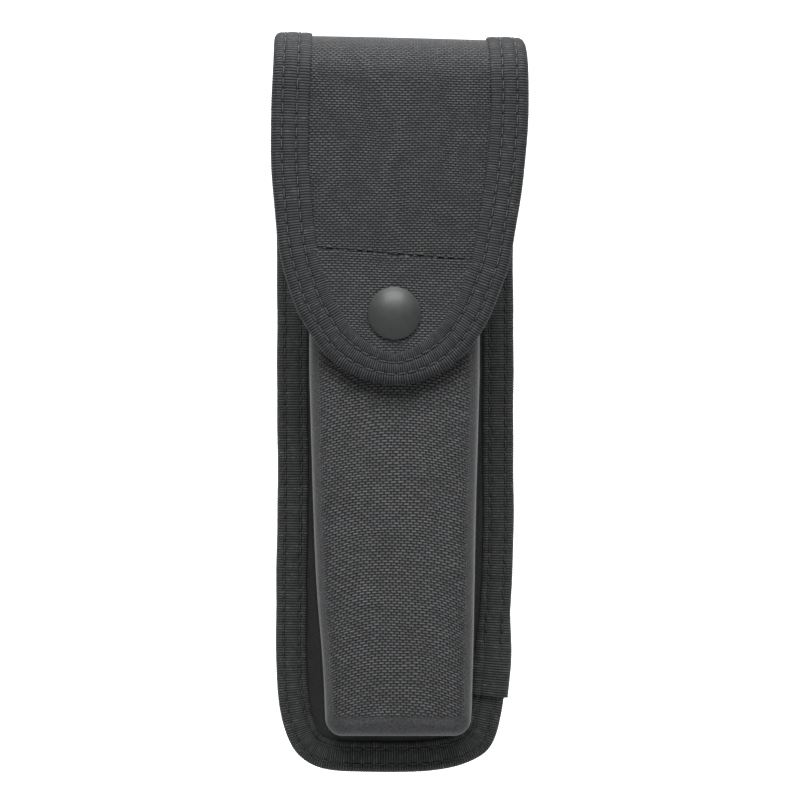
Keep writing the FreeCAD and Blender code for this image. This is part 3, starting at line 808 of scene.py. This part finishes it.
def rowStitches(line, s0, s1, inset, place, depth, pitch=3.5, side=1.0, seed=3, bend=None):
    rng = np.random.default_rng(seed)
    s = np.arange(min(s0, s1) + pitch / 2, max(s0, s1) - pitch / 2, pitch)
    s = s + rng.normal(0, 0.08, len(s))
    off = inset + rng.normal(0, 0.06, len(s))
    if bend is not None:
        off = bend(s, off)
    x0, q0 = line.at(s - 0.5, off)
    x1, q1 = line.at(s + 0.5, off)
    size = np.hypot(x1 - x0, q1 - q0)
    lengths = pitch * 0.86 + rng.normal(0, 0.08, len(s))
    middle, way = ((x0 + x1) / 2, (q0 + q1) / 2), ((x1 - x0) / size, (q1 - q0) / size)
    return stitchParts(place, *middle, *way, depth, lengths, side=side)


sunk = -tape["thick"] + 0.10
rearSunk = sunk - 0.24  # the rear leg has no groove, so its thread lies higher
rearOfFlap, rearOfBody = panel["thick"] - rearSunk, bodyStack - rearSunk
parts = []
for depth, side, seed in ((sunk, 1.0, 5), (rearOfFlap, -1.0, 8)):
    for k, r in enumerate(flapRows):
        parts += rowStitches(flapLine, *sHood, r, onPanel, depth, side=side, seed=seed + k, bend=atTip)
flapStitches = makePiece("flap_binding_stitches", parts, look["thread"], sharp=0)
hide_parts("flap_front_stitching")
blendFront(flapStitches)
parts = []
for k, r in enumerate(flapRows):
    for first, last in ((sMouth[0], sHood[0]), (sHood[1], sMouth[1])):
        parts += rowStitches(flapLine, first, last, r, onPanel, sunk, seed=15 + k)
        parts += rowStitches(flapLine, first, last, r, onPanel, rearOfFlap, side=-1.0, seed=18 + k)
hoodStitches = makePiece("hood_binding_stitches", parts, look["thread"], sharp=0)
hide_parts("flap_top_stitching")
blendRear(hoodStitches)
parts = []
for k, r in enumerate(bodyRows):
    parts += rowStitches(bodyLine, 2, lapFrom - 1, r, onBody, sunk, seed=25 + k)
    parts += rowStitches(bodyLine, lapFrom + 2, lapTo, r, onBody, sunk - 0.8, seed=31 + k)
    parts += rowStitches(bodyLine, lapTo, bodyLine.length - 2, r, onBody, sunk, seed=35 + k)
    parts += rowStitches(bodyLine, 2, bodyLine.length - 2, r, onBody, rearOfBody, side=-1.0, seed=38 + k)
bodyStitches = makePiece("body_binding_stitches", parts, look["thread"], body="pouch", sharp=0)
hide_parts("body_binding_stitching")


def seamRow():
    rng = np.random.default_rng(44)
    x = np.arange(-21.5, 21.8, 2.9)
    q = tip["top"] + tip["seamAbove"] - np.tan(tip["tilt"]) * x + rng.normal(0, 0.07, len(x))
    wayX, wayQ = np.full(len(x), np.cos(tip["tilt"])), np.full(len(x), -np.sin(tip["tilt"]))
    return stitchParts(onPanel, x, q, wayX, wayQ, -0.02, np.full(len(x), 2.4), radius=0.27)


seam = makePiece("patch_seam_stitches", seamRow(), look["thread"], body="flap_front", sharp=0)
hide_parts("patch_seam_stitching")
print("stitches ready")


# The belt loop is one webbing strap from its anchor down to its tail.
strap = dict(halfWidth=25.0, thick=2.4, clip=4.2, edge=1.1, rib=0.05, bend=5, turn=np.radians(60),
             standOff=8.3, anchorZ=41, anchorLength=12.0, closureZ=-31, tailZ=-66, tapesThick=2.4)


def strapPath():
    # the strap's inner face in the YZ plane as distance, y, z and heading: straight runs and arcs in turn
    r, turn, out = strap["bend"], strap["turn"], strap["standOff"]
    slant = (out - 2 * r * (1 - np.cos(turn))) / np.sin(turn)
    fall = 2 * r * np.sin(turn) + slant * np.cos(turn)
    turnBack = np.arccos(1 - (out - strap["tapesThick"]) / (2 * r))
    fallBack = 2 * r * np.sin(turnBack)
    moves = [(strap["anchorLength"], 0), (r * turn, turn), (slant, 0), (r * turn, -turn),
             (strap["anchorZ"] - fall - strap["closureZ"], 0),
             (r * turnBack, -turnBack), (r * turnBack, turnBack),
             (strap["closureZ"] - strap["tailZ"] - fallBack, 0)]
    y, z, h = panel["backY"], strap["anchorZ"] + strap["anchorLength"], np.radians(-90)
    path = [(0.0, y, z, h)]
    for length, bent in moves:
        steps = max(int(length / 0.5), 4)
        for _ in range(steps):
            mid = h + bent / steps / 2
            y, z, h = y + length / steps * np.cos(mid), z + length / steps * np.sin(mid), h + bent / steps
            path.append((path[-1][0] + length / steps, y, z, h))
    return np.array(path).T


strapS, strapY, strapZ, strapH = strapPath()


def onStrap(x, s, d):
    x, s, d = np.broadcast_arrays(np.asarray(x, float), np.asarray(s, float), np.asarray(d, float))
    y, z, h = [np.interp(s, strapS, v) for v in (strapY, strapZ, strapH)]
    return np.stack([x, y - d * np.sin(h), z + d * np.cos(h)], axis=-1)


def strapPiece(acrossSteps=25):
    # a section with rounded long edges, swept down the strap; the tail's corners are clipped
    end = strapS[-1]
    s = np.concatenate([np.arange(0, end - 6.5, 0.55), np.linspace(end - 6.5, end, 20)])
    half = strap["halfWidth"] - strap["clip"] * smooth(end - 6.0, end, s)
    t, r = strap["thick"], strap["edge"]
    a = np.linspace(-np.pi / 2, np.pi / 2, 7)
    xs = np.linspace(-1, 1, acrossSteps)
    top = np.stack([xs, 0 * xs + t, 0 * xs], axis=1)
    right = np.stack([0 * a + 1, t / 2 - (t / 2) * np.sin(a), r * np.cos(a)], axis=1)[1:-1]
    low = np.stack([xs[::-1], 0 * xs, 0 * xs], axis=1)
    left = np.stack([0 * a - 1, t / 2 + (t / 2) * np.sin(a), -r * np.cos(a)], axis=1)[1:-1]
    loop = np.concatenate([top, right, low, left])
    x = loop[None, :, 0] * (half - r)[:, None] + loop[None, :, 2]
    rib = strap["rib"] * np.cos(2 * np.pi * s / tape["ribPitch"])
    d = loop[None, :, 1] + rib[:, None] * np.sign(loop[None, :, 1] - t / 2)
    p = onStrap(x, s[:, None], d)
    uv = np.stack(np.broadcast_arrays(s[:, None], x), axis=-1)
    caps = []
    lowFrom = acrossSteps + len(right)
    for k in (0, -1):
        cap = np.stack([p[k, :acrossSteps], p[k, lowFrom:lowFrom + acrossSteps][::-1]])
        caps.append((cap, np.stack([uv[k, :acrossSteps], uv[k, :acrossSteps]]), False, k != 0))
    return [(p, uv, True, True)] + caps


strapMesh = makePiece("belt_loop_strap", strapPiece(), look["webbing"], sharp=50)
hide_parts("strap_webbing", "strap_stiffener", "strap_lining", "belt_loop_anchor")
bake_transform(strapMesh)


def strapStitches():
    parts = []
    rng = np.random.default_rng(61)
    t = strap["thick"]
    s = np.arange(24.0, strapS[-1] - 5, 3.5)
    for x in (-22.6, 22.6):
        for depth, side in ((t + 0.06, -1.0), (-0.06, 1.0)):
            xs, one = x + rng.normal(0, 0.05, len(s)), np.ones(len(s))
            parts += stitchParts(onStrap, xs, s, 0 * one, one, depth, 3.0 * one, side=side)
    return parts


def anchorStitches(halfWide=22.5, high=2.5, low=9.5, pitch=3.0):
    # a box with a cross in it: round the box, back along one diagonal, then the other diagonal
    left, right = -halfWide, halfWide
    box = [(left, high), (right, high), (right, low), (left, low), (left, high), (right, low)]
    lines = list(zip(box[:-1], box[1:])) + [((left, low), (right, high))]
    parts = []
    for (x0, s0), (x1, s1) in lines:
        size = np.hypot(x1 - x0, s1 - s0)
        count = int(size / pitch)
        k, one = (np.arange(count) + 0.5) / count, np.ones(count)
        parts += stitchParts(onStrap, x0 + (x1 - x0) * k, s0 + (s1 - s0) * k, (x1 - x0) / size * one,
                             (s1 - s0) / size * one, strap["thick"] + 0.06, 2.6 * one, side=-1.0)
    return parts


strapThread = makePiece("belt_loop_stitches", strapStitches(), look["thread"], body="belt_loop",
                        sharp=0)
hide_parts("strap_stitching")
anchorThread = makePiece("anchor_stitches", anchorStitches(), look["thread"], body="pouch",
                         sharp=0)
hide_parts("belt_loop_anchor_stitching")
print("belt loop ready")


# which look each CAD part that keeps its shape gets
finish = {
    "snap_cap": "cap", "belt_snap_caps": "cap", "snap_stud": "plated", "snap_stud_rivet": "plated",
    "snap_socket": "plated", "belt_snap_studs": "plated", "belt_snap_sockets": "plated",
    "loop_tape": "pile", "hook_tape": "hooks",
}
for node, kind in finish.items():
    obj = bpy.data.objects[node]
    obj.data.materials.clear()
    obj.data.materials.append(look[kind])
    obj.data.set_sharp_from_angle(angle=np.radians(40))


def softLight(name, place, aim, size, power):
    data = bpy.data.lights.new(name, "AREA")
    data.shape, data.size, data.size_y, data.energy = "RECTANGLE", size[0], size[1], power
    light = addToScene(name, data)
    light.location = place
    way = mathutils.Vector(aim) - mathutils.Vector(place)
    light.rotation_euler = way.to_track_quat("-Z", "Y").to_euler()


def flatBoard(name, corners, **paint):
    mesh = bpy.data.meshes.new(name)
    mesh.from_pydata(corners, [], [(0, 1, 2, 3)])
    mesh.materials.append(Graph(name + "Paint").done(Roughness=0.9, **paint))
    return addToScene(name, mesh)


# floor, backdrop, lights and camera; the first three are in metres
room = dict(floorZ=-0.9, floorHalf=30, backY=2.5, backWide=6, backTall=5, daylight=0.40)
floorZ, reach, backY, wide, tall = [room[k] for k in ("floorZ", "floorHalf", "backY", "backWide", "backTall")]
floor = flatBoard("floor", [(-reach, -reach, floorZ), (reach, -reach, floorZ), (reach, reach, floorZ),
                            (-reach, reach, floorZ)], Base_Color=(0.8, 0.8, 0.8, 1))
backdrop = flatBoard("backdrop", [(-wide, backY, -tall), (wide, backY, -tall), (wide, backY, tall),
                                  (-wide, backY, tall)],
                     Base_Color=(0.98, 0.98, 0.98, 1), Emission_Color=(1, 1, 1, 1), Emission_Strength=1.0)

world = bpy.data.worlds.new("room")
bpy.context.scene.world = world
world.use_nodes = True
world.node_tree.nodes["Background"].inputs[0].default_value = (0.96, 0.98, 1.0, 1)
world.node_tree.nodes["Background"].inputs[1].default_value = room["daylight"]
softLight("keyLight", (-0.02, -0.56, 0.64), (0, -0.03, 0.0), (0.7, 0.45), 12.0)
softLight("topLight", (0, 0.02, 0.75), (0, -0.03, 0.05), (0.45, 0.3), 3.5)

view = bpy.context.scene.view_settings
view.view_transform = "Standard"
view.look = "None"

camera = addToScene("camera", bpy.data.cameras.new("camera"))
camera.data.sensor_width = 36
camera.data.lens = 106.2
camera.data.clip_start = 0.02
camera.location = (1.63 * mm, -732.0 * mm, -37.0 * mm)
camera.rotation_euler = (np.pi / 2, 0, 0)
bpy.context.scene.camera = camera
